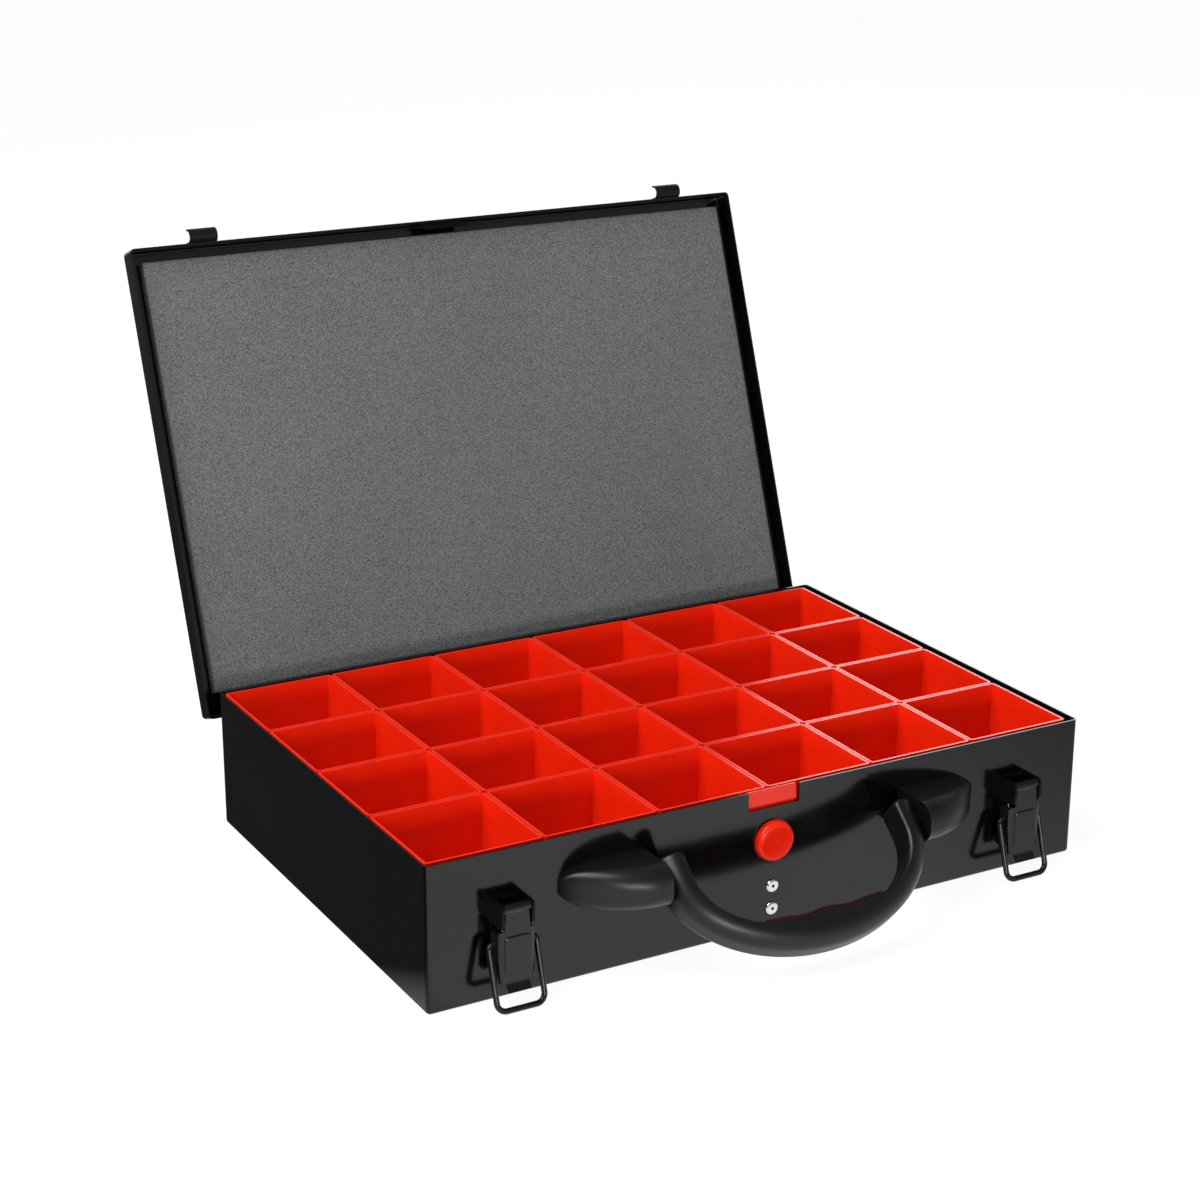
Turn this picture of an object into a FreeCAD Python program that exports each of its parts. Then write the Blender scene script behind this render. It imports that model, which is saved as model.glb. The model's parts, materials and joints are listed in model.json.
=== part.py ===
import FreeCAD, Part
import math
import os

os.makedirs("parts", exist_ok=True)
V = FreeCAD.Vector

# Sheet steel, in mm: X to the right, Y to the back, Z up, origin under the middle of the base
sheet = 0.8
case_corner = 2.2
case_bend = 1.6

# Clearances between neighbours and in running fits
run_gap = 0.05
part_gap = 0.3

# Front wall from the middle outwards: handle, bracket, latch, side of the case
handle_width = 130.4
handle_end_gap = 0.8
bracket_length = 41.5
latch_bracket_gap = 24.0
latch_side_gap = 36.5

# Front wall from the bottom up: two lock rivets, button, notch for the tongue
lock_rivet_low = 10.0
lock_rivet_pitch = 10.9
button_above_rivet = 22.0
notch_above_button = 15.6
notch_depth = 8.6

# Lift-out bins, square, which fill the case
bin_columns = 6
bin_rows = 4
bin_gap = 0.5
bin_left_gap = 1.25
bin_right_gap = 2.95
bin_back_gap = 0.7
bin_front_gap = 3.5
bin_below_rim = 0.7
bin_wall = 1.25
bin_floor = 1.2
bin_draft = 1.2
bin_corner = 2.0
bin_foot_round = 1.6
bin_inside_round = 0.7

# Lid, a shallow tray that laps over the base
lid_side_gap = 0.45
lid_front_gap = 1.45
lid_top_gap = 0.1
lid_lap = 11.1
lid_open_angle = 109.9

# Butt hinges, welded to the back of base and lid
hinge_side_gap = 58.0
hinge_width = 50.0
hinge_drop = 6.7
hinge_leaf = 1.0
hinge_knuckle_radius = 2.5
hinge_pin_radius = 1.5
hinge_knuckles = 5
hinge_knuckle_gap = 0.2
hinge_leaf_gap = 0.4
hinge_base_leaf_height = 22.0
hinge_lid_leaf_height = 12.0

# Foam sheet in the lid
foam_thick = 5.7
foam_side_margin = 4.1
foam_front_margin = 6.15
foam_back_margin = 12.0
foam_corner = 0.8

# Handle brackets, moulded half bullets on the front wall
bracket_reach = 26.0
bracket_height = 18.8
bracket_round = 8.4
bracket_rim_gap = 2.2
bracket_screw_radius = 1.5
bracket_screw_head_radius = 3.0
bracket_screw_head = 1.2
bracket_screw_depth = 8.0
bracket_screw_inset = 9.0
bracket_screw_pitch = 17.0

# Handle, a moulded bow that turns between the brackets
handle_pivot_reach = 14.0
handle_hang_angle = 42.0
handle_thick = 16.0
handle_arm_width = 11.0
handle_heel = 8.0
handle_heel_round = 3.0
handle_depth = 47.2
handle_grip_width = 14.8
handle_palm_depth = handle_depth - handle_grip_width
handle_bow_start = 2.0
handle_palm_half = 20.0
handle_palm_start = 4.4
handle_upper_round = 8.0
handle_inner_round = 2.0
handle_lower_round = 3.0
handle_finger_pitch = 22.8
handle_finger_wave = 0.5
handle_pin_radius = 3.0
handle_pin_in_arm = 8.0
handle_pin_in_bracket = 10.0
inlay_depth = 1.2
inlay_proud = 0.8
inlay_edge = 1.5
inlay_sweep_angle = 33.0

# Toggle latches: base, lever, pin and wire bail
latch_pivot_reach = 8.9
latch_pivot_drop = 11.2
latch_plate = 1.0
latch_plate_width = 14.6
latch_plate_corner = 2.0
latch_cheek = 1.2
latch_cheek_reach = 11.5
latch_cheek_over = 2.5
latch_cheek_under = 8.4
latch_cheek_round = 2.5
latch_pin_radius = 1.0
latch_pin_head_radius = 1.7
latch_pin_head = 0.6
latch_rivet_low = 7.2
latch_rivet_pitch = 14.0
lever_cheek_gap = 0.9
lever_length = 23.8
lever_width = 17.4
lever_neck_low = 12.4
lever_neck_high = 10.4
lever_front = 10.6
lever_back = 3.0
lever_sheet = 1.0
lever_round = 2.5
lever_flange_round = 3.0
lever_low_corner = 1.5
lever_high_corner = 2.2
lever_barrel_radius = 2.2
lever_side_hole_radius = 2.3
lever_side_hole_rise = 6.3
lever_boss = 0.6
lever_boss_margin = 2.6
lever_boss_rise = 4.2
lever_boss_corner = 2.4
lever_tab_width = 10.4
lever_tab_drop = 3.0
lever_tab_reach = 2.5
lever_tab_bend = 2.0
bail_pivot_reach = 5.6
bail_pivot_drop = 7.0
bail_wire_radius = 1.3
bail_leg_spread = 22.2
bail_end_inset = 1.4
bail_top_round = 2.4
bail_round = 4.2
bail_foot_gap = 0.1

# Keepers on the lid's front, which the bails pull on
keeper_sheet = 0.9
keeper_width = 14.2
keeper_plate_height = 10.0
keeper_rim_drop = 0.7
keeper_trough_radius = 2.6
keeper_trough_angle = 15.0
keeper_tip = 1.8
keeper_seat_gap = 0.3

# Push-button lock in the front wall
notch_half = 13.1
button_radius = 9.3
button_hole_gap = 0.4
button_proud = 3.6
button_rim_round = 2.2
button_dish = 0.6
button_flange = 0.4
button_flange_width = 1.6
button_seat_gap = 0.1
lock_spring_thick = 0.4
lock_spring_width = 14.0
lock_spring_tail = 5.5
lock_spring_step = 6.0
lock_spring_rise = 3.0
lock_spring_top_gap = 1.0
tongue_thick = 1.0
tongue_side_gap = 0.7
tongue_tail = 8.4
tongue_barb_lead = 0.9
tongue_barb_recess = 1.2
tongue_below_rim = 0.6
strike_width = 30.0
strike_high = 3.0
strike_reach = 0.6
strike_lip = 0.7

# Rivets
rivet_radius = 1.6
rivet_bore = 0.75
rivet_head_radius = 3.1
rivet_head = 1.1
rivet_tail_radius = 2.4
rivet_tail = 0.7

# Places that follow from the sizes above
bracket_inner_x = handle_width / 2 + handle_end_gap
latch_x = bracket_inner_x + bracket_length + latch_bracket_gap
case_width = 2 * (latch_x + latch_side_gap)
bin_span = case_width - 2 * sheet - bin_left_gap - bin_right_gap
bin_width = (bin_span - (bin_columns - 1) * bin_gap) / bin_columns
bin_row_span = bin_rows * bin_width + (bin_rows - 1) * bin_gap
case_depth = bin_row_span + bin_front_gap + bin_back_gap + 2 * sheet
lock_rivet_heights = [lock_rivet_low, lock_rivet_low + lock_rivet_pitch]
button_z = lock_rivet_heights[1] + button_above_rivet
notch_low = button_z + notch_above_button
case_height = notch_low + notch_depth
bin_height = case_height - bin_below_rim - sheet
front = -case_depth / 2
back = case_depth / 2
lid_rim_z = case_height - lid_lap
lid_top_z = case_height + lid_top_gap + sheet
lid_half = case_width / 2 + lid_side_gap + sheet
lid_back = back + lid_side_gap + sheet
lid_front = front - lid_front_gap - sheet
hinge_x = case_width / 2 - hinge_side_gap
hinge_y = lid_back + hinge_knuckle_radius
hinge_z = lid_rim_z - hinge_drop
bracket_z = lid_rim_z - bracket_rim_gap - bracket_height / 2
latch_pivot_z = lid_rim_z - latch_pivot_drop
latch_cheek_high = latch_pivot_z + latch_cheek_over
latch_cheek_low = latch_pivot_z - latch_cheek_under
lever_high = latch_cheek_low - lever_cheek_gap
lever_low = lever_high - lever_length
latch_plate_low = lever_low + lever_sheet
latch_rivet_heights = [lever_low + latch_rivet_low, lever_low + latch_rivet_low + latch_rivet_pitch]
bail_pivot_z = lever_high - bail_pivot_drop


def rounded_wire(points, radii, closed=True):
    """A wire through points in one plane, with each corner rounded by its radius."""
    count = len(points)
    starts, ends, arcs = [], [], []
    for i, p in enumerate(points):
        r = radii[i]
        inner = closed or 0 < i < count - 1
        if r <= 0 or not inner:
            starts.append(p)
            ends.append(p)
            arcs.append(None)
            continue
        u = (points[i - 1] - p).normalize()
        v = (points[(i + 1) % count] - p).normalize()
        half = u.getAngle(v) / 2
        leg = r / math.tan(half)
        centre = p + (u + v).normalize() * (r / math.sin(half))
        middle = centre + (p - centre).normalize() * r
        starts.append(p + u * leg)
        ends.append(p + v * leg)
        arcs.append(Part.Arc(starts[i], middle, ends[i]).toShape())
    edges = []
    for i in range(count):
        if arcs[i]:
            edges.append(arcs[i])
        j = (i + 1) % count
        if (closed or i < count - 1) and (starts[j] - ends[i]).Length > 1e-6:
            edges.append(Part.makeLine(ends[i], starts[j]))
    return Part.Wire(edges)


def prism(points, radii, along):
    """A solid from a closed profile with rounded corners, pulled along a vector."""
    return Part.Face(rounded_wire(points, radii)).extrude(along)


def upright(width, depth, height, radius, x=0.0, y=0.0, z=0.0):
    """A block with rounded upright edges, standing on z."""
    a, b = width / 2, depth / 2
    corners = [V(x - a, y - b, z), V(x + a, y - b, z), V(x + a, y + b, z), V(x - a, y + b, z)]
    return prism(corners, [radius] * 4, V(0, 0, height))


def across(profile, radii, width, x=0.0):
    """A solid from a side view of (reach ahead of the front wall, height) pairs."""
    points = [V(x - width / 2, front - reach, z) for reach, z in profile]
    return prism(points, radii, V(width, 0, 0))


def flat_edges(shape, z):
    """The edges of a shape that lie at one height."""
    return [e for e in shape.Edges if all(abs(v.Z - z) < 1e-6 for v in e.Vertexes)]


def rod(radius, start, along):
    """A round rod from a start point along a vector."""
    return Part.makeCylinder(radius, along.Length, start, along)


def ahead(reach, z, x=0.0):
    """A point at a reach ahead of the front wall."""
    return V(x, front - reach, z)


def joined(shapes):
    """One solid from shapes that overlap or meet."""
    return shapes[0].fuse(shapes[1:]).removeSplitter()


def save(name, shape):
    """Writes one node's STEP file."""
    shape.exportStep("parts/" + name + ".step")


def tray(width, depth, height):
    """An open tray of bent sheet with its floor on z = 0."""
    outer = upright(width, depth, height, case_corner)
    outer = outer.makeFillet(case_bend, flat_edges(outer, 0))
    inner = upright(width - 2 * sheet, depth - 2 * sheet, height, case_corner - sheet, 0, 0, sheet)
    inner = inner.makeFillet(case_bend - sheet, flat_edges(inner, sheet))
    return outer.cut(inner)


def rivet(grip, x, z, reach):
    """A hollow rivet through the front wall, its head at a reach ahead of the wall."""
    rise = rivet_head_radius - rivet_radius
    crown = rivet_radius + 0.3 * rise
    shoulder = V(crown + 0.55 * rise, -0.72 * rivet_head, 0)
    edges = [
        Part.makeLine(V(rivet_bore, -rivet_head, 0), V(crown, -rivet_head, 0)),
        Part.Arc(V(crown, -rivet_head, 0), shoulder, V(rivet_head_radius, 0, 0)).toShape(),
    ]
    rest = [
        V(rivet_head_radius, 0, 0),
        V(rivet_radius, 0, 0),
        V(rivet_radius, grip, 0),
        V(rivet_tail_radius, grip, 0),
        V(rivet_tail_radius, grip + rivet_tail, 0),
        V(rivet_bore, grip + rivet_tail, 0),
        V(rivet_bore, -rivet_head, 0),
    ]
    edges += [Part.makeLine(a, b) for a, b in zip(rest, rest[1:])]
    solid = Part.Face(Part.Wire(edges)).revolve(V(0, 0, 0), V(0, 1, 0), 360)
    solid.translate(ahead(reach, z, x))
    return solid


def wall_hole(radius, x, z):
    """A cutter for a round hole through the front wall."""
    return rod(radius, ahead(sheet, z, x), V(0, 3 * sheet, 0))


# Base tray with the lock's notch and the fixing holes in its front wall
base = tray(case_width, case_depth, case_height)
notch = Part.makeBox(
    2 * notch_half, 3 * sheet, case_height, ahead(sheet, notch_low, -notch_half)
)
cuts = [notch, wall_hole(button_radius + button_hole_gap, 0, button_z)]
cuts += [wall_hole(rivet_radius + run_gap, 0, z) for z in lock_rivet_heights]
bracket_screw_x = bracket_inner_x + bracket_screw_inset
bracket_screw_places = [bracket_screw_x, bracket_screw_x + bracket_screw_pitch]
for side in (-1, 1):
    cuts += [wall_hole(rivet_radius + run_gap, side * latch_x, z) for z in latch_rivet_heights]
    for place in bracket_screw_places:
        cuts.append(wall_hole(bracket_screw_radius + run_gap, side * place, bracket_z))
save("base_tray", base.cut(cuts))


def opened(shape):
    """Turns a lid piece from its shut place to where the lid stands open."""
    turned = shape.copy()
    turned.rotate(V(0, hinge_y, hinge_z), V(1, 0, 0), -lid_open_angle)
    return turned


# Lid shell, modelled shut and then turned open
lid_height = lid_top_z - lid_rim_z
lid = tray(2 * lid_half, lid_back - lid_front, lid_height)
lid.rotate(V(0, 0, 0), V(1, 0, 0), 180)
lid.translate(V(0, (lid_back + lid_front) / 2, lid_top_z))
save("lid_shell", opened(lid))

# Foam sheet on the inside of the lid's panel
foam_front = lid_front + foam_front_margin
foam_back = lid_back - foam_back_margin
foam = upright(
    2 * (lid_half - sheet - foam_side_margin),
    foam_back - foam_front,
    foam_thick,
    foam_corner,
    0,
    (foam_front + foam_back) / 2,
    lid_top_z - sheet - foam_thick,
)
save("lid_foam", opened(foam))

# Strike on the lid's front rim, whose lip goes in through the notch, under the lock's tongue
strike_low = notch_low + part_gap
strike_back = lid_front_gap - strike_reach
barb_reach = -tongue_barb_recess
undercut = barb_reach - tongue_barb_lead
strike_tip = undercut + part_gap
barb_low = strike_low + strike_lip + part_gap
tongue_half = notch_half - tongue_side_gap
bar = [
    (lid_front_gap, strike_low),
    (strike_back, strike_low),
    (strike_back, strike_low + strike_high),
    (lid_front_gap, strike_low + strike_high),
]
lip = [
    (lid_front_gap, strike_low),
    (strike_tip, strike_low),
    (strike_tip, strike_low + strike_lip),
    (lid_front_gap, strike_low + strike_lip),
]
strike = joined([across(bar, [0] * 4, strike_width), across(lip, [0] * 4, 2 * tongue_half)])
save("lid_strike", opened(strike))

# Keeper: a plate on the lid's front wall that curls out into a trough below the rim
keeper_face = lid_front_gap + sheet
trough_reach = keeper_face + keeper_sheet + keeper_trough_radius
trough_low = lid_rim_z - keeper_rim_drop
trough_z = trough_low + keeper_trough_radius


def keeper(x):
    """One keeper for the latch at x, as it stands with the lid shut."""
    end = math.radians(90 - keeper_trough_angle)
    outer = keeper_trough_radius + keeper_sheet
    plate_top = lid_rim_z + keeper_plate_height

    def at(reach, z):
        return ahead(reach, z, x - keeper_width / 2)

    def on_arc(radius, angle):
        return at(trough_reach + radius * math.sin(angle), trough_z - radius * math.cos(angle))

    def arc(radius, first, last):
        middle = on_arc(radius, (first + last) / 2)
        return Part.Arc(on_arc(radius, first), middle, on_arc(radius, last)).toShape()

    tip = V(0, -math.cos(end), math.sin(end)) * keeper_tip
    quarter = math.pi / 2
    edges = [
        Part.makeLine(at(keeper_face, plate_top), on_arc(outer, -quarter)),
        arc(outer, -quarter, end),
        Part.makeLine(on_arc(outer, end), on_arc(outer, end) + tip),
        Part.makeLine(on_arc(outer, end) + tip, on_arc(keeper_trough_radius, end) + tip),
        Part.makeLine(on_arc(keeper_trough_radius, end) + tip, on_arc(keeper_trough_radius, end)),
        arc(keeper_trough_radius, end, -quarter),
        Part.makeLine(
            on_arc(keeper_trough_radius, -quarter), at(keeper_face + keeper_sheet, plate_top)
        ),
        Part.makeLine(at(keeper_face + keeper_sheet, plate_top), at(keeper_face, plate_top)),
    ]
    return Part.Face(Part.Wire(edges)).extrude(V(keeper_width, 0, 0))


save("keeper_left", opened(keeper(-latch_x)))
save("keeper_right", opened(keeper(latch_x)))


# Hinges: the knuckles of base leaf and lid leaf take turns along one pin
def hinge(x):
    """The base leaf, lid leaf and pin of a hinge at x, with the lid shut."""
    r = hinge_knuckle_radius
    pitch = (hinge_width + hinge_knuckle_gap) / hinge_knuckles
    length = pitch - hinge_knuckle_gap
    start = x - hinge_width / 2
    clear = r + hinge_leaf_gap
    step = lid_back - back

    def profile(pairs, radii):
        points = [V(start, y, z) for y, z in pairs]
        return prism(points, radii, V(hinge_width, 0, 0))

    low = hinge_z - clear - hinge_base_leaf_height
    base_leaf = [
        profile(
            [
                (back, low),
                (back + hinge_leaf, low),
                (back + hinge_leaf, hinge_z - clear - 3 * step),
                (lid_back + hinge_leaf, hinge_z - clear - step),
                (lid_back + hinge_leaf, hinge_z - clear),
                (lid_back, hinge_z - clear),
                (lid_back, hinge_z - clear - step),
                (back, hinge_z - clear - 3 * step),
            ],
            [0, 0, 1, 1, 0, 0, 1, 1],
        )
    ]
    lid_leaf = [
        profile(
            [
                (lid_back, hinge_z + clear),
                (lid_back + hinge_leaf, hinge_z + clear),
                (lid_back + hinge_leaf, hinge_z + clear + hinge_lid_leaf_height),
                (lid_back, hinge_z + clear + hinge_lid_leaf_height),
            ],
            [0, 0, 0, 0],
        )
    ]
    for i in range(hinge_knuckles):
        at = start + i * pitch
        barrel = rod(r, V(at, hinge_y, hinge_z), V(length, 0, 0))
        low_z = hinge_z - clear if i % 2 == 0 else hinge_z
        web = Part.makeBox(length, hinge_leaf, clear, V(at, lid_back, low_z))
        (base_leaf if i % 2 == 0 else lid_leaf).extend([barrel, web])
    bore = rod(hinge_pin_radius + run_gap, V(start - 1, hinge_y, hinge_z), V(hinge_width + 2, 0, 0))
    pin = rod(hinge_pin_radius, V(start, hinge_y, hinge_z), V(hinge_width, 0, 0))
    return joined(base_leaf).cut(bore), joined(lid_leaf).cut(bore), pin


for name, side in (("left", -1), ("right", 1)):
    base_leaf, lid_leaf, pin = hinge(side * hinge_x)
    save("hinge_" + name + "_base_leaf", base_leaf)
    save("hinge_" + name + "_lid_leaf", opened(lid_leaf))
    save("hinge_" + name + "_pin", pin)


# Bins: a drafted outer form less a drafted inner form
def drafted(width, depth, height, draft, corner, foot):
    """A block that narrows downwards, with rounded upright and bottom edges."""
    a, b = width / 2, depth / 2
    wedge = Part.makeWedge(
        -a + draft, 0, -b + draft, -b, -a, a - draft, height, b - draft, b, a
    )
    wedge.rotate(V(0, 0, 0), V(1, 0, 0), 90)
    corners = [e for e in wedge.Edges if abs(e.Vertexes[0].Z - e.Vertexes[1].Z) > height / 2]
    wedge = wedge.makeFillet(corner, corners)
    return wedge.makeFillet(foot, flat_edges(wedge, 0))


bin_outer = drafted(bin_width, bin_width, bin_height, bin_draft, bin_corner, bin_foot_round)
inner_draft = bin_draft * (bin_height - bin_floor) / bin_height
bin_inner = drafted(
    bin_width - 2 * bin_wall,
    bin_width - 2 * bin_wall,
    bin_height - bin_floor,
    inner_draft,
    bin_corner - bin_wall,
    bin_inside_round,
)
bin_inner.translate(V(0, 0, bin_floor))
bin_shell = bin_outer.cut(bin_inner)
bin_first_x = -case_width / 2 + sheet + bin_left_gap + bin_width / 2
bin_last_y = back - sheet - bin_back_gap - bin_width / 2
for row in range(bin_rows):
    for column in range(bin_columns):
        one = bin_shell.copy()
        from_back = bin_rows - 1 - row
        x = bin_first_x + column * (bin_width + bin_gap)
        y = bin_last_y - from_back * (bin_width + bin_gap)
        one.translate(V(x, y, sheet))
        save("bin_r%d_c%d" % (row + 1, column + 1), one)


# Handle brackets: a loft whose reach and height fall away to the outer end
def bracket_section(share, side):
    """A D-shaped section at a share of the bracket's length from its inner end."""
    x = bracket_inner_x + share * bracket_length
    reach = bracket_reach * (1 - share ** 2.2)
    half = bracket_height / 2 * math.sqrt(1 - share ** 6)
    r = bracket_round * (1 - share ** 3)
    points = [
        ahead(0, bracket_z - half, side * x),
        ahead(0, bracket_z + half, side * x),
        ahead(reach, bracket_z + half, side * x),
        ahead(reach, bracket_z - half, side * x),
    ]
    return rounded_wire(points, [0, 0, r, r])


def handle_pivot(x):
    """The point on the handle's axis at x."""
    return ahead(handle_pivot_reach, bracket_z, x)


bracket_shares = [0.0, 0.15, 0.3, 0.45, 0.6, 0.72, 0.82, 0.9, 0.95, 0.98]
screws = []
pins = []
for name, side in (("left", -1), ("right", 1)):
    wires = [bracket_section(share, side) for share in bracket_shares]
    bracket = Part.makeLoft(wires, True)
    bores = [
        rod(
            handle_pin_radius + run_gap,
            handle_pivot(side * (bracket_inner_x - 1)),
            V(side * (handle_pin_in_bracket + 1), 0, 0),
        )
    ]
    for place in bracket_screw_places:
        seat = ahead(-sheet, bracket_z, side * place)
        shank = V(0, -(sheet + bracket_screw_depth), 0)
        bores.append(rod(bracket_screw_radius + run_gap, seat, shank))
        head = rod(bracket_screw_head_radius, seat, V(0, bracket_screw_head, 0))
        rims = [e for e in head.Edges if abs(e.BoundBox.YMin - seat.y - bracket_screw_head) < 1e-6]
        head = head.makeFillet(0.6 * bracket_screw_head, rims)
        screws.append(head.fuse(rod(bracket_screw_radius, seat, shank * 0.97)).removeSplitter())
    save("handle_bracket_" + name, bracket.cut(bores))
    inner = bracket_inner_x - handle_end_gap - handle_pin_in_arm
    length = handle_pin_in_arm + handle_end_gap + handle_pin_in_bracket
    pins.append(rod(handle_pin_radius, handle_pivot(side * inner), V(side * length, 0, 0)))
save("bracket_screws", Part.makeCompound(screws))
save("handle_pins", Part.makeCompound(pins))

# Handle bow, drawn flat in its own plane: x across, y outwards from the pivot
handle_half = handle_width / 2
palm_x = handle_half - handle_arm_width - handle_palm_half
palm_y = handle_palm_depth - handle_palm_start


def palm(angle):
    """A point on the finger side, from -90 degrees at the left arm to 90 at the right arm."""
    a = math.radians(abs(angle))
    side = math.copysign(1.0, angle)
    span = handle_palm_half + palm_x
    x = span * math.sin(a)
    past = min(1.0, max(0.0, x - handle_palm_half) / palm_x)
    y = handle_palm_start + palm_y * math.sqrt(1 - past ** 2)
    fade = 0.5 * (1 + math.cos(math.pi * min(1.0, x / (0.9 * span)) ** 3))
    y -= handle_finger_wave * fade * math.cos(2 * math.pi * x / handle_finger_pitch)
    return V(side * x, y, 0)


def palm_curve(angles, shift):
    """A smooth curve along the finger side, moved outwards by a shift."""
    points = []
    for angle in angles:
        p = palm(angle)
        along = palm(angle + 0.05) - palm(angle - 0.05)
        points.append(p + V(-along.y, along.x, 0).normalize() * shift)
    curve = Part.BSplineCurve()
    curve.interpolate(points)
    return curve.toShape()


steps = 36
sweep = [-88.0 + 176.0 * i / steps for i in range(steps + 1)]
inside_edge = palm_curve(sweep, 0)
inner_left = inside_edge.Vertexes[0].Point
inner_right = inside_edge.Vertexes[-1].Point
bow = handle_depth - handle_bow_start
ellipse = Part.Ellipse(V(0, handle_bow_start, 0), handle_half, bow)
outside_edge = Part.ArcOfEllipse(ellipse, 0, math.pi).toShape()
heel = -handle_heel
outline = Part.Wire(
    [
        outside_edge,
        Part.makeLine(V(-handle_half, handle_bow_start, 0), V(-handle_half, heel, 0)),
        Part.makeLine(V(-handle_half, heel, 0), V(inner_left.x, heel, 0)),
        Part.makeLine(V(inner_left.x, heel, 0), inner_left),
        inside_edge,
        Part.makeLine(inner_right, V(inner_right.x, heel, 0)),
        Part.makeLine(V(inner_right.x, heel, 0), V(handle_half, heel, 0)),
        Part.makeLine(V(handle_half, heel, 0), V(handle_half, handle_bow_start, 0)),
    ]
)
grip = Part.Face(outline).extrude(V(0, 0, handle_thick))
grip.translate(V(0, 0, -handle_thick / 2))


def outer_edges(shape, z):
    """The edges round the bow's outer side, on its flat face at z."""
    found = []
    for e in flat_edges(shape, z):
        p = e.valueAt((e.FirstParameter + e.LastParameter) / 2)
        out = max(0.0, p.y - handle_bow_start) / bow
        if p.y > heel + 0.1 and math.hypot(p.x / handle_half, out) > 0.995:
            found.append(e)
    return found


def inner_edges(shape, z):
    """The edges along the finger side, on the bow's flat face at z."""
    found = []
    for e in flat_edges(shape, z):
        p = e.valueAt((e.FirstParameter + e.LastParameter) / 2)
        out = max(0.0, p.y - handle_bow_start) / bow
        if p.y > heel + 0.1 and math.hypot(p.x / handle_half, out) < 0.9:
            found.append(e)
    return found


heel_corners = []
for e in grip.Edges:
    first, last = e.Vertexes[0].Point, e.Vertexes[-1].Point
    at_heel = abs(first.y - heel) < 1e-6 and abs(first.x) < handle_half - 1
    if at_heel and abs(first.z - last.z) > handle_thick / 2:
        heel_corners.append(e)
grip = grip.makeFillet(handle_heel_round, heel_corners)
grip = grip.makeFillet(handle_upper_round, outer_edges(grip, -handle_thick / 2))
grip = grip.makeFillet(handle_inner_round, inner_edges(grip, -handle_thick / 2))
grip = grip.makeFillet(handle_lower_round, outer_edges(grip, handle_thick / 2))
pad_edge = handle_thick / 2 - inlay_edge
pad_sweep = [-inlay_sweep_angle + 2 * inlay_sweep_angle * i / steps for i in range(steps + 1)]
pad_in = palm_curve(pad_sweep, -inlay_proud)
pad_out = palm_curve(pad_sweep, inlay_depth)
pad_face = Part.Face(
    Part.Wire(
        [
            pad_in,
            Part.makeLine(pad_in.Vertexes[-1].Point, pad_out.Vertexes[-1].Point),
            pad_out,
            Part.makeLine(pad_out.Vertexes[0].Point, pad_in.Vertexes[0].Point),
        ]
    )
)
inlay = pad_face.extrude(V(0, 0, 2 * pad_edge))
inlay.translate(V(0, 0, -pad_edge))
for side in (-1, 1):
    depth = V(-side * (handle_pin_in_arm + 1), 0, 0)
    grip = grip.cut(rod(handle_pin_radius + run_gap, V(side * (handle_half + 1), 0, 0), depth))
grip = grip.cut(inlay)
for shape in (grip, inlay):
    shape.rotate(V(0, 0, 0), V(1, 0, 0), 180 + handle_hang_angle)
    shape.translate(handle_pivot(0))
save("handle_grip", grip)
save("handle_inlay", inlay)


# Latches
def latch_base(x):
    """Wall plate with two cheeks that carry the lever's pin."""
    a = latch_plate_width / 2
    corners = [
        ahead(0, latch_plate_low, x - a),
        ahead(0, latch_plate_low, x + a),
        ahead(0, latch_cheek_high, x + a),
        ahead(0, latch_cheek_high, x - a),
    ]
    radii = [latch_plate_corner, latch_plate_corner, 0, 0]
    pieces = [prism(corners, radii, V(0, -latch_plate, 0))]
    cheek = [
        (0, latch_cheek_low),
        (0, latch_cheek_high),
        (latch_cheek_reach, latch_cheek_high),
        (latch_cheek_reach, latch_cheek_low),
    ]
    inset = a + part_gap - latch_cheek / 2
    for side in (-1, 1):
        radii = [0, 0, latch_cheek_round, latch_cheek_round]
        pieces.append(across(cheek, radii, latch_cheek, x + side * inset))
    body = joined(pieces)
    pin_way = rod(
        latch_pin_radius + run_gap,
        ahead(latch_pivot_reach, latch_pivot_z, x - latch_plate_width),
        V(2 * latch_plate_width, 0, 0),
    )
    holes = [
        rod(rivet_radius + run_gap, ahead(-sheet, z, x), V(0, -3 * latch_plate, 0))
        for z in latch_rivet_heights
    ]
    return body.cut([pin_way] + holes)


cheek_outer = latch_plate_width / 2 + part_gap
cheek_inner = cheek_outer - latch_cheek


def latch_pin(x):
    """Headed pin through both cheeks."""
    centre = ahead(latch_pivot_reach, latch_pivot_z, x - cheek_outer)
    pieces = [rod(latch_pin_radius, centre, V(2 * cheek_outer, 0, 0))]
    pieces.append(rod(latch_pin_head_radius, centre, V(-latch_pin_head, 0, 0)))
    far = centre + V(2 * cheek_outer, 0, 0)
    pieces.append(rod(latch_pin_head_radius, far, V(latch_pin_head, 0, 0)))
    return joined(pieces)


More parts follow.
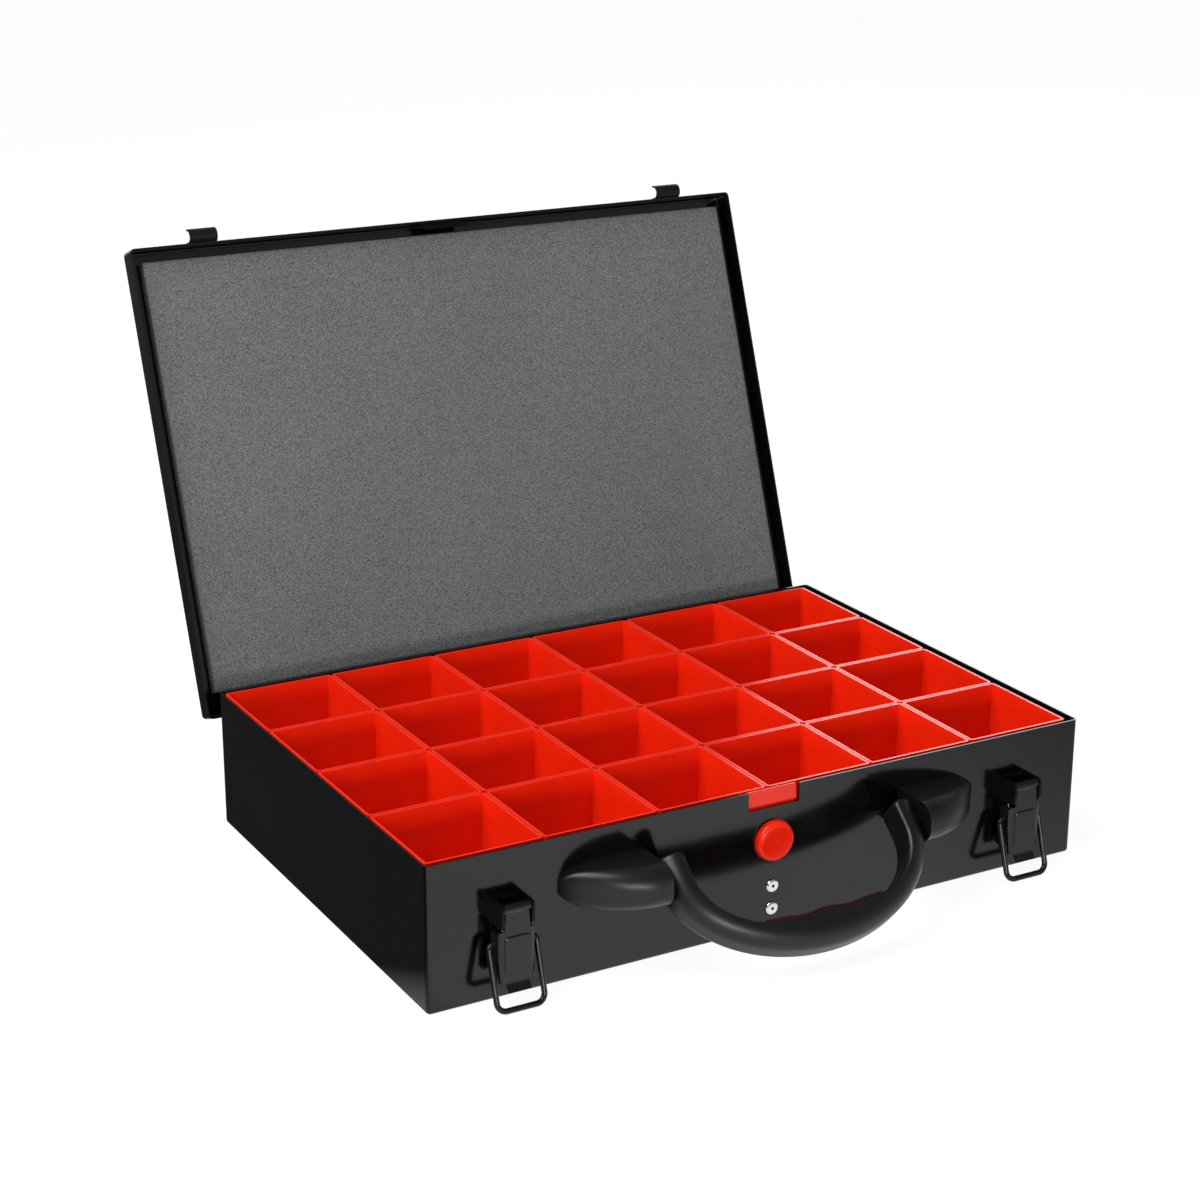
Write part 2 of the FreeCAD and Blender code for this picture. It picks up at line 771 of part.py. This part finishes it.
def latch_lever(x):
    """Pressed lever: a U channel with a neck that is rolled round the pin, and a finger tab."""
    a = lever_width / 2
    b = a - lever_sheet
    plate_back = lever_front - lever_sheet
    section = [
        ahead(lever_back, lever_low, x - a),
        ahead(lever_front, lever_low, x - a),
        ahead(lever_front, lever_low, x + a),
        ahead(lever_back, lever_low, x + a),
        ahead(lever_back, lever_low, x + b),
        ahead(plate_back, lever_low, x + b),
        ahead(plate_back, lever_low, x - b),
        ahead(lever_back, lever_low, x - b),
    ]
    inner_round = lever_round - lever_sheet
    radii = [0, lever_round, lever_round, 0, 0, inner_round, inner_round, 0]
    channel = prism(section, radii, V(0, 0, lever_high - lever_low))
    side_view = [
        (lever_back, lever_low + lever_sheet),
        (lever_back, lever_high),
        (lever_front, lever_high),
        (lever_front, lever_low),
        (plate_back, lever_low),
    ]
    flange_radii = [lever_flange_round, lever_flange_round, 0, 0, 0]
    channel = channel.common(across(side_view, flange_radii, 2 * lever_width, x))
    corners = [
        ahead(lever_back, lever_low, x - a),
        ahead(lever_back, lever_low, x + a),
        ahead(lever_back, lever_high, x + a),
        ahead(lever_back, lever_high, x - a),
    ]
    reach = V(0, lever_back - lever_front, 0)
    low_corner, high_corner = lever_low_corner, lever_high_corner
    radii = [low_corner, low_corner, high_corner, high_corner]
    channel = channel.common(prism(corners, radii, reach))
    neck = [
        ahead(plate_back, lever_high - lever_round, x - lever_neck_low / 2),
        ahead(plate_back, lever_high - lever_round, x + lever_neck_low / 2),
        ahead(plate_back, latch_pivot_z, x + lever_neck_high / 2),
        ahead(plate_back, latch_pivot_z, x - lever_neck_high / 2),
    ]
    out = lever_tab_reach
    sink = 0.4 * lever_sheet
    tab = [
        (plate_back, lever_low + lever_low_corner),
        (lever_front, lever_low + lever_low_corner),
        (lever_front, lever_low),
        (lever_front + out, lever_low - lever_tab_drop),
        (plate_back + out, lever_low - lever_tab_drop - sink),
        (plate_back, lever_low - sink),
    ]
    start = ahead(latch_pivot_reach, latch_pivot_z, x - cheek_inner + part_gap)
    barrel = rod(lever_barrel_radius, start, V(2 * (cheek_inner - part_gap), 0, 0))
    pieces = [channel, prism(neck, [0] * 4, V(0, -lever_sheet, 0)), barrel]
    bend = [0, 0, lever_tab_bend, 0, 0, lever_tab_bend + lever_sheet]
    pieces.append(across(tab, bend, lever_tab_width, x))
    c = lever_width / 2 - lever_boss_margin
    boss_low = lever_low + lever_boss_rise
    outline = [
        ahead(plate_back, boss_low, x - c),
        ahead(plate_back, boss_low, x + c),
        ahead(plate_back, lever_high - lever_round, x + c),
        ahead(plate_back, lever_high - lever_round, x - c),
    ]
    boss = prism(outline, [lever_boss_corner] * 4, V(0, -lever_sheet - lever_boss, 0))
    face_y = front - lever_front - lever_boss
    crown = [e for e in boss.Edges if all(abs(v.Y - face_y) < 1e-6 for v in e.Vertexes)]
    pieces.append(boss.makeFillet(0.9 * lever_boss, crown))
    body = joined(pieces)
    long = V(2 * lever_width, 0, 0)
    left = x - lever_width
    side_hole_z = lever_low + lever_side_hole_rise
    bores = [
        rod(latch_pin_radius + run_gap, ahead(latch_pivot_reach, latch_pivot_z, left), long),
        rod(bail_wire_radius + run_gap, ahead(bail_pivot_reach, bail_pivot_z, left), long),
        rod(lever_side_hole_radius, ahead(bail_pivot_reach, side_hole_z, left), long),
    ]
    return body.cut(bores)


# The bail is as long as the way from its pivot to the keeper's trough, and hangs to the ground
seat_z = trough_low + bail_wire_radius + keeper_seat_gap
bail_length = math.hypot(trough_reach - bail_pivot_reach, seat_z - bail_pivot_z)
bail_drop = bail_pivot_z - bail_foot_gap - bail_wire_radius
bail_tilt = math.acos(min(1.0, bail_drop / bail_length))
bail_hook = math.pi - math.atan2(trough_reach - bail_pivot_reach, seat_z - bail_pivot_z)


def latch_bail(x):
    """Wire bail: two legs with turned-in ends and a cross bar."""
    half = bail_leg_spread / 2
    end = lever_width / 2 - lever_sheet - bail_end_inset
    down = V(0, -math.sin(bail_tilt), -math.cos(bail_tilt)) * bail_length
    pivot = ahead(bail_pivot_reach, bail_pivot_z, x)
    points = [
        pivot + V(-end, 0, 0),
        pivot + V(-half, 0, 0),
        pivot + V(-half, 0, 0) + down,
        pivot + V(half, 0, 0) + down,
        pivot + V(half, 0, 0),
        pivot + V(end, 0, 0),
    ]
    radii = [0, bail_top_round, bail_round, bail_round, bail_top_round, 0]
    path = rounded_wire(points, radii, False)
    ring = Part.Wire(Part.makeCircle(bail_wire_radius, points[0], V(1, 0, 0)))
    return path.makePipeShell([ring], True, False)


latch_rivets = []
for name, side in (("left", -1), ("right", 1)):
    x = side * latch_x
    save("latch_" + name + "_base", latch_base(x))
    save("latch_" + name + "_pin", latch_pin(x))
    save("latch_" + name + "_lever", latch_lever(x))
    save("latch_" + name + "_bail", latch_bail(x))
    latch_rivets += [rivet(latch_plate + sheet, x, z, latch_plate) for z in latch_rivet_heights]
save("latch_rivets", Part.makeCompound(latch_rivets))

# Lock: a sprung button that draws the tongue back from the lid's strike
flange_front = -sheet - button_seat_gap
flange_back = flange_front - button_flange
face = button_radius - button_rim_round
dish = (button_dish ** 2 + face ** 2) / (2 * button_dish)
low_face = button_proud - button_dish
shoulder = button_rim_round * math.sqrt(0.5)
profile = [
    Part.Arc(
        V(0, low_face, 0),
        V(face / 2, low_face + dish - math.sqrt(dish ** 2 - face ** 2 / 4), 0),
        V(face, button_proud, 0),
    ).toShape(),
    Part.Arc(
        V(face, button_proud, 0),
        V(face + shoulder, button_proud - button_rim_round + shoulder, 0),
        V(button_radius, button_proud - button_rim_round, 0),
    ).toShape(),
]
flange_radius = button_radius + button_flange_width
rest = [
    V(button_radius, button_proud - button_rim_round, 0),
    V(button_radius, flange_front, 0),
    V(flange_radius, flange_front, 0),
    V(flange_radius, flange_back, 0),
    V(0, flange_back, 0),
    V(0, low_face, 0),
]
profile += [Part.makeLine(a, b) for a, b in zip(rest, rest[1:])]
button = Part.Face(Part.Wire(profile)).revolve(V(0, 0, 0), V(0, 1, 0), 360)
button.rotate(V(0, 0, 0), V(0, 0, 1), 180)
button.translate(ahead(0, button_z))
save("lock_button", button)

# Leaf spring, riveted low on the wall and stepped back to pass behind the button
spring_front = flange_back - run_gap
spring_back = spring_front - lock_spring_thick
spring_top = notch_low - lock_spring_top_gap
spring_low = lock_rivet_low - lock_spring_tail
spring_bend = lock_rivet_heights[1] + lock_spring_step
spring_step = spring_bend + lock_spring_rise
leaf = [
    (-sheet, spring_low),
    (-sheet, spring_bend),
    (spring_front, spring_step),
    (spring_front, spring_top),
    (spring_back, spring_top),
    (spring_back, spring_step),
    (-sheet - lock_spring_thick, spring_bend),
    (-sheet - lock_spring_thick, spring_low),
]
spring = across(leaf, [0] * 8, lock_spring_width)
spring_holes = [
    rod(rivet_radius + run_gap, ahead(0, z), V(0, 4 * sheet, 0)) for z in lock_rivet_heights
]
save("lock_spring", spring.cut(spring_holes))
lock_rivets = [rivet(sheet + lock_spring_thick, 0, z, 0) for z in lock_rivet_heights]
save("lock_rivets", Part.makeCompound(lock_rivets))

# Tongue: a plate behind the spring whose barb leans out over the strike's lip
tongue_front = spring_back - run_gap
tongue_back = tongue_front - tongue_thick
tongue_low = notch_low - tongue_tail
tongue_top = case_height - tongue_below_rim
tongue = [
    (tongue_front, tongue_low),
    (tongue_front, spring_top + part_gap),
    (undercut, spring_top + 2 * part_gap),
    (undercut, barb_low),
    (barb_reach, barb_low),
    (barb_reach - 0.7 * tongue_barb_lead, tongue_top),
    (tongue_back, tongue_top),
    (tongue_back, tongue_low),
]
save("lock_tongue", across(tongue, [0, 0, 0, 0, 0, 0.3, 0, 0], 2 * tongue_half))

print("case %.3f %.3f %.3f" % (case_width, case_depth, case_height))
print("hinge_axis %.3f %.3f" % (hinge_y, hinge_z))
print("handle_pivot %.3f %.3f" % (handle_pivot(0).y, bracket_z))
print("latch_pivot %.3f %.3f %.3f" % (latch_x, front - latch_pivot_reach, latch_pivot_z))
print("bail_pivot %.3f %.3f" % (front - bail_pivot_reach, bail_pivot_z))
print("bail_swing %.3f" % math.degrees(bail_hook - bail_tilt))
print("bins %.3f %.3f %.3f" % (bin_width, bin_first_x, bin_last_y))
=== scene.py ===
import json
import math

import bmesh
import bpy
from mathutils import Matrix, Vector, noise


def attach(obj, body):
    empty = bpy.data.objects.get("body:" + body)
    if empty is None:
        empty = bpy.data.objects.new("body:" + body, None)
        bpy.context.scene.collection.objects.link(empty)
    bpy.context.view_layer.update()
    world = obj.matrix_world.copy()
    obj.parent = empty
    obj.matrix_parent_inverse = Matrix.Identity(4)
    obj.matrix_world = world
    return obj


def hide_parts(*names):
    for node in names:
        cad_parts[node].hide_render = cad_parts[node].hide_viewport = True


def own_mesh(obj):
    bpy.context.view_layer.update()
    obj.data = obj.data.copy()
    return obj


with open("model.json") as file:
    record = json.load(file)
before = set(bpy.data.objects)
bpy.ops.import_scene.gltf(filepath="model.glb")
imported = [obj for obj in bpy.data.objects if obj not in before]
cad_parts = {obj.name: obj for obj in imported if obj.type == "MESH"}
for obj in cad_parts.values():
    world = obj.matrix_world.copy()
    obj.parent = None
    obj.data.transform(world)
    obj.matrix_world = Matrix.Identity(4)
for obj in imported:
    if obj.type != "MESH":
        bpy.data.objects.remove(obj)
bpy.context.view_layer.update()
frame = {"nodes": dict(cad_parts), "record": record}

nodes = frame["nodes"]
scene = bpy.context.scene


# Node helpers
def new_material(name):
    """A material with its node tree and its shader."""
    mat = bpy.data.materials.new(name)
    mat.use_nodes = True
    return mat, mat.node_tree, mat.node_tree.nodes["Principled BSDF"]


def add(tree, kind, **values):
    """A node with some of its properties and input values set."""
    node = tree.nodes.new(kind)
    for key, value in values.items():
        if key in node.inputs:
            node.inputs[key].default_value = value
        else:
            setattr(node, key, value)
    return node


def feed(tree, source, target):
    """Link an input to another node's output, or set it to a number."""
    if isinstance(source, bpy.types.NodeSocket):
        tree.links.new(source, target)
    else:
        target.default_value = source


def reckon(tree, operation, *sources):
    """The result of one sum over outputs and numbers."""
    node = add(tree, "ShaderNodeMath", operation=operation)
    for source, target in zip(sources, node.inputs):
        feed(tree, source, target)
    return node.outputs[0]


def blend(tree, share, low, high):
    """A number that goes from low to high as the share goes from 0 to 1."""
    node = add(tree, "ShaderNodeMix", data_type="FLOAT")
    for index, source in ((0, share), (2, low), (3, high)):
        feed(tree, source, node.inputs[index])
    return node.outputs[0]


def join(tree, kind, *sources):
    """The result of a node that adds or mixes shaders."""
    node = add(tree, kind)
    for source, target in zip(sources, node.inputs):
        tree.links.new(source, target)
    return node.outputs[0]


def object_noise(tree, scale, detail=3.0, rough=0.55):
    """Noise over the piece's own coordinates, with its scale in features per metre."""
    place = add(tree, "ShaderNodeTexCoord")
    tex = add(tree, "ShaderNodeTexNoise", Scale=scale, Detail=detail, Roughness=rough)
    tree.links.new(place.outputs["Object"], tex.inputs["Vector"])
    return tex.outputs["Fac"]


def spread(tree, source, low, high, start=0.3, end=0.7):
    """A value that goes from low to high as the source goes from start to end."""
    node = add(tree, "ShaderNodeMapRange")
    node.inputs["From Min"].default_value = start
    node.inputs["From Max"].default_value = end
    node.inputs["To Min"].default_value = low
    node.inputs["To Max"].default_value = high
    tree.links.new(source, node.inputs["Value"])
    return node.outputs["Result"]


def tint(tree, source, dark, light, start=0.3, end=0.7):
    """A colour that goes from dark to light with the source."""
    node = add(tree, "ShaderNodeValToRGB")
    ends = node.color_ramp.elements
    ends[0].position, ends[1].position = start, end
    ends[0].color = (*dark, 1.0)
    ends[1].color = (*light, 1.0)
    tree.links.new(source, node.inputs["Fac"])
    return node.outputs["Color"]


def bump(tree, shader, source, depth):
    """Relief of a depth in metres on the shader's normal."""
    node = add(tree, "ShaderNodeBump", Strength=1.0, Distance=depth)
    tree.links.new(source, node.inputs["Height"])
    tree.links.new(node.outputs["Normal"], shader.inputs["Normal"])


def finish_of(name, dark, light, patch, rough, grain, depth, metal=0.0, specular=0.5):
    """A finish with colour patches, uneven gloss and fine relief.

    Patch and grain are the scales of colour and relief, in features per metre.
    """
    mat, tree, shader = new_material(name)
    shader.inputs["Metallic"].default_value = metal
    shader.inputs["Specular IOR Level"].default_value = specular
    cloud = object_noise(tree, patch)
    tree.links.new(tint(tree, cloud, dark, light), shader.inputs["Base Color"])
    fine = object_noise(tree, grain, 2.0)
    tree.links.new(spread(tree, fine, rough[0], rough[1]), shader.inputs["Roughness"])
    bump(tree, shader, fine, depth)
    return mat


def black(level):
    """A near-black with a trace of blue."""
    return (level, level, level + 0.0001)


# Finishes: one for each slot of the record, and two for single nodes
looks = {
    "case_steel": dict(
        dark=black(0.0012), light=black(0.0022), patch=40, rough=(0.11, 0.15), grain=1400, depth=2e-6
    ),
    "black_plastic": dict(
        dark=black(0.002), light=black(0.0035), patch=90, rough=(0.34, 0.42), grain=2600, depth=6e-6,
        specular=0.42,
    ),
    "grip_plastic": dict(
        dark=black(0.002), light=black(0.0035), patch=90, rough=(0.33, 0.41), grain=2300, depth=7e-6,
        specular=0.42,
    ),
    "keeper_steel": dict(
        dark=black(0.004), light=black(0.008), patch=120, rough=(0.25, 0.35), grain=1600, depth=5e-6,
        specular=0.2,
    ),
    "latch_black": dict(
        dark=black(0.0015), light=black(0.003), patch=120, rough=(0.08, 0.13), grain=900, depth=2e-6
    ),
    "bail_wire": dict(
        dark=black(0.003), light=black(0.006), patch=200, rough=(0.2, 0.3), grain=1800, depth=5e-6,
        specular=0.3,
    ),
    "bright_steel": dict(
        dark=(0.66, 0.66, 0.66), light=(0.82, 0.82, 0.82), patch=300, rough=(0.08, 0.18), grain=3000,
        depth=3e-6, metal=1.0,
    ),
    "red_plastic": dict(
        dark=(0.78, 0.0165, 0.0025), light=(0.85, 0.0195, 0.0035), patch=60, rough=(0.19, 0.27),
        grain=1800, depth=4e-6,
    ),
    "soft_red": dict(
        dark=(0.028, 0.0014, 0.0014), light=(0.042, 0.002, 0.002), patch=150, rough=(0.26, 0.34),
        grain=2600, depth=3e-6, specular=0.4,
    ),
    "button_red": dict(
        dark=(0.78, 0.0145, 0.0025), light=(0.84, 0.0165, 0.0035), patch=60, rough=(0.16, 0.22),
        grain=1800, depth=3e-6, specular=0.22,
    ),
    "blackened_pin": dict(
        dark=black(0.0015), light=black(0.003), patch=300, rough=(0.25, 0.35), grain=2600, depth=4e-6,
        specular=0.15,
    ),
}
finishes = {name: finish_of(name, **look) for name, look in looks.items()}


def foam_finish():
    """Grey cellular foam: fine light and dark cells over slow shading."""
    mat, tree, shader = new_material("lid_foam")
    shader.inputs["Specular IOR Level"].default_value = 0.2
    cells = object_noise(tree, 1700, 2.0, 0.7)
    slow = object_noise(tree, 14, 2.0)
    shade = add(tree, "ShaderNodeMix", data_type="RGBA", blend_type="MULTIPLY")
    shade.inputs[0].default_value = 1.0
    tree.links.new(tint(tree, cells, (0.03, 0.031, 0.0315), (0.235, 0.24, 0.242)), shade.inputs[6])
    tree.links.new(tint(tree, slow, (0.92, 0.92, 0.92), (1.0, 1.0, 1.0)), shade.inputs[7])
    tree.links.new(shade.outputs[2], shader.inputs["Base Color"])
    tree.links.new(spread(tree, cells, 0.85, 1.0), shader.inputs["Roughness"])
    bump(tree, shader, cells, 1.5e-4)
    return mat


finishes["lid_foam"] = foam_finish()
own_finish = {
    "lock_button": "button_red",
    "latch_left_pin": "blackened_pin",
    "latch_right_pin": "blackened_pin",
    "latch_left_base": "blackened_pin",
    "latch_right_base": "blackened_pin",
    "handle_pins": "blackened_pin",
    "lid_strike": "blackened_pin",
}
for part in frame["record"]["subparts"]:
    piece = nodes[part["node"]]
    piece.data.materials.clear()
    piece.data.materials.append(finishes[own_finish.get(part["node"], part["material_slot"])])

# Foam sheet, modelled with the lid shut and turned open with it
hinge = Vector((0.0, 0.116633, 0.0493))
open_turn = Matrix.Rotation(math.radians(-109.9), 4, "X")
opened = Matrix.Translation(hinge) @ open_turn @ Matrix.Translation(-hinge)
foam_low = Vector((-0.1622, -0.108983, 0.0615))
foam_high = Vector((0.16435, 0.102133, 0.0672))
foam_round = 0.001
foam_swell = 0.00025
swell_scale = 28
crease_angle = math.radians(50)


def foam_place(u, v):
    """The x and y that lie at the shares u and v of the sheet."""
    x = foam_low.x + (foam_high.x - foam_low.x) * u
    y = foam_low.y + (foam_high.y - foam_low.y) * v
    return x, y


def foam_point(u, v):
    """A point on the foam's open face, rounded over at its edges and a little uneven."""
    x, y = foam_place(u, v)
    edge = min(x - foam_low.x, foam_high.x - x, y - foam_low.y, foam_high.y - y)
    fall = foam_round * (1 - math.sqrt(max(0.0, 1 - max(0.0, 1 - edge / foam_round) ** 2)))
    swell = foam_swell * noise.noise(Vector((x * swell_scale, y * swell_scale, 0.3)))
    return Vector((x, y, foam_low.z + foam_swell + fall + swell))


def graded(count):
    """Steps from 0 to 1 that lie closer together at both ends."""
    near = [0.0, 0.001, 0.0025, 0.005, 0.009]
    inner = [0.02 + 0.96 * i / count for i in range(count + 1)]
    return near + inner + [1 - t for t in reversed(near)]


def foam_mesh():
    """The sheet as one closed mesh: uneven face, flat back and four sides."""
    mesh = bpy.data.meshes.new("foam_sheet")
    form = bmesh.new()
    across, along = graded(48), graded(32)
    face_rows = [[form.verts.new(foam_point(u, v)) for u in across] for v in along]
    front, back = (
        [form.verts.new((*foam_place(u, v), foam_high.z)) for u in across] for v in (0.0, 1.0)
    )
    loop = [front, *face_rows, back, front]
    for low, high in zip(loop, loop[1:]):
        for i in range(len(across) - 1):
            form.faces.new((low[i], high[i], high[i + 1], low[i + 1]))
    for i in (0, -1):
        form.faces.new([row[i] for row in loop[:-1]])
    bmesh.ops.recalc_face_normals(form, faces=form.faces[:])
    form.to_mesh(mesh)
    form.free()
    mesh.transform(opened)
    for polygon in mesh.polygons:
        polygon.use_smooth = True
    mesh.set_sharp_from_angle(angle=crease_angle)
    mesh.materials.append(finishes["lid_foam"])
    return mesh


foam = bpy.data.objects.new("foam_sheet", foam_mesh())
scene.collection.objects.link(foam)
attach(foam, "lid")
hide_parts("lid_foam")
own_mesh(foam)

# Camera at the photograph's angle
azimuth, elevation, roll = (math.radians(a) for a in (29.460, 18.896, 0.192))
ahead = Vector((
    math.sin(azimuth) * math.cos(elevation),
    math.cos(azimuth) * math.cos(elevation),
    -math.sin(elevation),
))
right = ahead.cross(Vector((0, 0, 1))).normalized()
up = right.cross(ahead)
turned_right = math.cos(roll) * right + math.sin(roll) * up
turned_up = math.cos(roll) * up - math.sin(roll) * right
lens = bpy.data.cameras.new("camera")
lens.sensor_width = 36.0
lens.lens = 75.843
lens.clip_start = 0.01
camera = bpy.data.objects.new("camera", lens)
scene.collection.objects.link(camera)
stand = Matrix((turned_right, turned_up, -ahead)).transposed().to_4x4()
stand.translation = Vector((-0.56335, -0.95576, 0.49918))
camera.matrix_world = stand
scene.camera = camera


# Light
def softbox(name, place, aim, width, height, power):
    """A soft area lamp that the camera doesn't see."""
    lamp = bpy.data.lights.new(name, "AREA")
    lamp.shape = "RECTANGLE"
    lamp.size, lamp.size_y = width, height
    lamp.energy = power
    obj = bpy.data.objects.new(name, lamp)
    obj.location = place
    obj.rotation_euler = (Vector(aim) - Vector(place)).to_track_quat("-Z", "Y").to_euler()
    obj.visible_camera = False
    scene.collection.objects.link(obj)


softbox("top_left", (-1.15, -0.08, 1.6), (0, 0, 0.05), 1.4, 1.4, 44)
softbox("back_right", (1.9, 1.7, 1.0), (0.1, 0, 0.06), 1.2, 0.9, 9)
softbox("low_front", (-0.5, -1.7, 0.24), (0, 0, 0.05), 0.8, 0.3, 12)


def ray_kinds(tree):
    """Two outputs: 1 for rays from the camera, and 1 for these and for reflected or clear ones."""
    path = add(tree, "ShaderNodeLightPath").outputs
    glossy = reckon(tree, "MAXIMUM", path["Is Camera Ray"], path["Is Glossy Ray"])
    return path["Is Camera Ray"], reckon(tree, "MAXIMUM", glossy, path["Is Transmission Ray"])


def set_world():
    """White to the camera, a low fill to the pieces, and to reflections a wall that dims upward."""
    white, fill = 1.0, 0.3
    wall_low, wall_high = 0.55, 0.2
    world = bpy.data.worlds.new("studio")
    scene.world = world
    world.use_nodes = True
    tree = world.node_tree
    background = tree.nodes["Background"]
    background.inputs["Color"].default_value = (1, 1, 1, 1)
    from_camera, direct = ray_kinds(tree)
    toward = add(tree, "ShaderNodeTexCoord")
    parts = add(tree, "ShaderNodeSeparateXYZ")
    tree.links.new(toward.outputs["Generated"], parts.inputs[0])
    wall = spread(tree, parts.outputs["Z"], wall_low, wall_high, 0.02, 0.7)
    strength = blend(tree, direct, fill, blend(tree, from_camera, wall, white))
    tree.links.new(strength, background.inputs["Strength"])


def floor_finish():
    """White paper with a faint shadow; reflections see it darker to the left and far right.

    The photograph's left wall is nearly black, and its front wall is lighter at the left.
    """
    bright, dark, far_left, far_right = 1.0, 0.05, 0.13, 0.5
    paper = bpy.data.materials.new("floor")
    paper.use_nodes = True
    tree = paper.node_tree
    tree.nodes.clear()
    place = add(tree, "ShaderNodeNewGeometry").outputs["Position"]
    parts = add(tree, "ShaderNodeSeparateXYZ")
    tree.links.new(place, parts.inputs[0])
    x, y = parts.outputs["X"], parts.outputs["Y"]
    away = add(tree, "ShaderNodeVectorMath", operation="DISTANCE")
    away.inputs[1].default_value = (-0.25, 0.15, 0)
    tree.links.new(place, away.inputs[0])
    in_front = spread(tree, reckon(tree, "SUBTRACT", x, y), dark, bright, -0.11, -0.03)
    behind = spread(tree, reckon(tree, "MULTIPLY_ADD", y, 0.118, x), dark, bright, -0.157, -0.107)
    leftward = spread(tree, away.outputs["Value"], dark, far_left, 0.4, 1.6)
    rightward = spread(tree, x, bright, far_right, 0.08, 0.26)
    lit = reckon(tree, "MAXIMUM", leftward, reckon(tree, "MAXIMUM", in_front, behind))
    mirrored = add(tree, "ShaderNodeEmission", Color=(1, 1, 1, 1))
    tree.links.new(reckon(tree, "MULTIPLY", lit, rightward), mirrored.inputs["Strength"])
    plain = add(tree, "ShaderNodeBsdfDiffuse", Color=(0.8, 0.8, 0.8, 1))
    faint = add(tree, "ShaderNodeBsdfDiffuse", Color=(0.12, 0.12, 0.12, 1))
    glow = add(tree, "ShaderNodeEmission", Color=(1, 1, 1, 1), Strength=0.93)
    from_camera, direct = ray_kinds(tree)
    shown = join(tree, "ShaderNodeAddShader", faint.outputs[0], glow.outputs[0])
    others = join(tree, "ShaderNodeMixShader", direct, plain.outputs[0], mirrored.outputs[0])
    out = add(tree, "ShaderNodeOutputMaterial")
    surface = join(tree, "ShaderNodeMixShader", from_camera, others, shown)
    tree.links.new(surface, out.inputs["Surface"])
    return paper


set_world()
bpy.ops.mesh.primitive_plane_add(size=14.0, location=(0, 0, -0.0002))
floor = bpy.context.object
floor.name = "floor"
floor.data.materials.append(floor_finish())

scene.view_settings.view_transform = "Standard"
